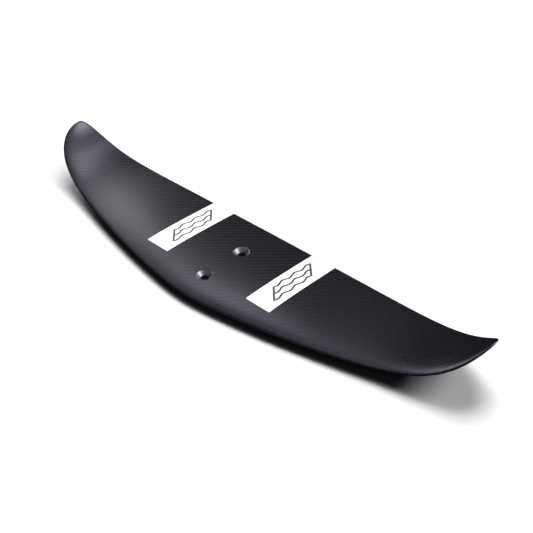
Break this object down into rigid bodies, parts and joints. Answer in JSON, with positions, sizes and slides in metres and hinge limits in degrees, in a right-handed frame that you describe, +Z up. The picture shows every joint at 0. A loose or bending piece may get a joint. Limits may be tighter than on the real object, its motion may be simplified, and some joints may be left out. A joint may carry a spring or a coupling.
{
  "type": "hydrofoil tail wing",
  "caption": "Swept carbon tail wing with upswept tips and countersunk bolt holes, resting by a flat seat on a hydrofoil's fuselage.",
  "frame": {"origin": "on the flat seat under the wing that rests on the fuselage, half-way between the bolt holes", "axes": "+X along the span, +Y from the leading edge to the trailing edge, +Z up and out of the top of the wing"},
  "size_m": [0.44, 0.0994, 0.0384],
  "materials": {
    "twill_carbon": "twill carbon fibre under a satin clear coat",
    "plain_carbon": "unidirectional carbon laminate, matt",
    "foam_core": "closed-cell structural foam, cut surface",
    "glass_laminate": "woven glass and epoxy, machined",
    "ferrule_metal": "turned stainless steel",
    "white_print": "smooth white print film",
    "black_print": "black print line"
  },
  "bodies": {
    "root": {"upper_skin": "twill_carbon", "lower_skin": "twill_carbon", "left_foam_core": "foam_core", "right_foam_core": "foam_core", "mounting_block": "glass_laminate", "upper_spar_cap": "plain_carbon", "lower_spar_cap": "plain_carbon", "leading_edge_tow": "plain_carbon", "front_bolt_ferrule": "ferrule_metal", "rear_bolt_ferrule": "ferrule_metal", "left_white_band": "white_print", "right_white_band": "white_print", "left_emblem": "black_print", "right_emblem": "black_print"}
  },
  "joints": []
}
